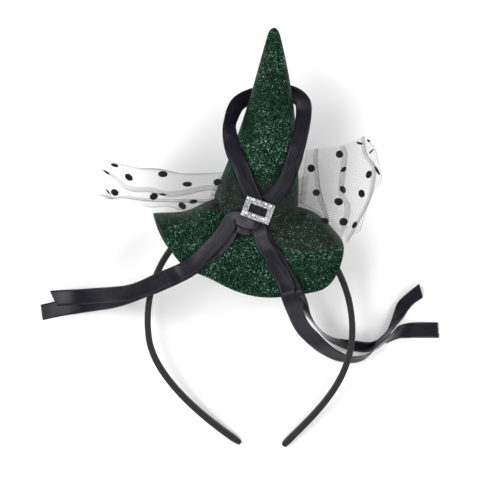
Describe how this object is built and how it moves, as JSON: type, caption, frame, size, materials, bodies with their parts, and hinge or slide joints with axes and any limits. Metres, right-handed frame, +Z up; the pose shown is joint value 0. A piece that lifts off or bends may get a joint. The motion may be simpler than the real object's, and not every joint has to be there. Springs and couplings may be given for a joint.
{
  "type": "mini witch hat headband",
  "caption": "Small pointed glitter witch hat with a folded brim, tulle wings, satin ribbon bow and rhinestone buckle, on a springy headband worn over the head.",
  "frame": {"origin": "centre of the bounding box, at the table the hat lies on", "axes": "the hat lies on its back: +Z up from the table and out of the hat's front, +Y from the headband's open ends towards the tip of the hat, +X to the wearer's left"},
  "size_m": [0.2566, 0.2672, 0.0834],
  "materials": {
    "green_glitter": "dark green metallic glitter on fabric",
    "black_felt": "matte black felt",
    "cone_card": "plain stiffening card, hidden",
    "black_satin": "black satin with a soft sheen",
    "band_wrap": "fine woven black fabric",
    "band_plastic": "plain black plastic, hidden",
    "dotted_tulle": "sheer black net with flocked dots",
    "silver_plate": "polished silver-coloured metal",
    "rhinestone": "clear faceted stones on silver foil"
  },
  "bodies": {
    "hat_and_crown": {"headband_core_crown": "band_plastic", "headband_sleeve_crown": "band_wrap", "felt_patch": "black_felt", "brim_felt_lining": "black_felt", "brim_glitter_fabric": "green_glitter", "cone_stiffener": "cone_card", "cone_glitter_fabric": "green_glitter", "buckle_frame": "silver_plate", "buckle_stones": "rhinestone", "ribbon_knot": "black_satin", "ribbon_loop": "black_satin", "ribbon_tail_left_lower": "black_satin", "ribbon_tail_left_upper": "black_satin", "ribbon_tail_right_front": "black_satin", "ribbon_tail_right_back": "black_satin", "tulle_left_wing": "dotted_tulle", "tulle_right_wing": "dotted_tulle", "tulle_band": "dotted_tulle", "tulle_swag": "dotted_tulle"},
    "left_leg": {"headband_core_left": "band_plastic", "headband_sleeve_left": "band_wrap", "headband_tip_left": "band_wrap"},
    "right_leg": {"headband_core_right": "band_plastic", "headband_sleeve_right": "band_wrap", "headband_tip_right": "band_wrap"}
  },
  "joints": [
    {"name": "left_leg_flex", "type": "hinge", "parent": "hat_and_crown", "child": "left_leg", "pos_m": [-0.04074, -0.00256, 0.03754], "axis": [0, 0.2588, -0.9659], "range_deg": [-3, 10], "stiffness_Nm_per_rad": 1.4},
    {"name": "right_leg_flex", "type": "hinge", "parent": "hat_and_crown", "child": "right_leg", "pos_m": [0.03891, 0.00756, 0.04026], "axis": [0, -0.2588, 0.9659], "range_deg": [-3, 10], "stiffness_Nm_per_rad": 1.4}
  ]
}
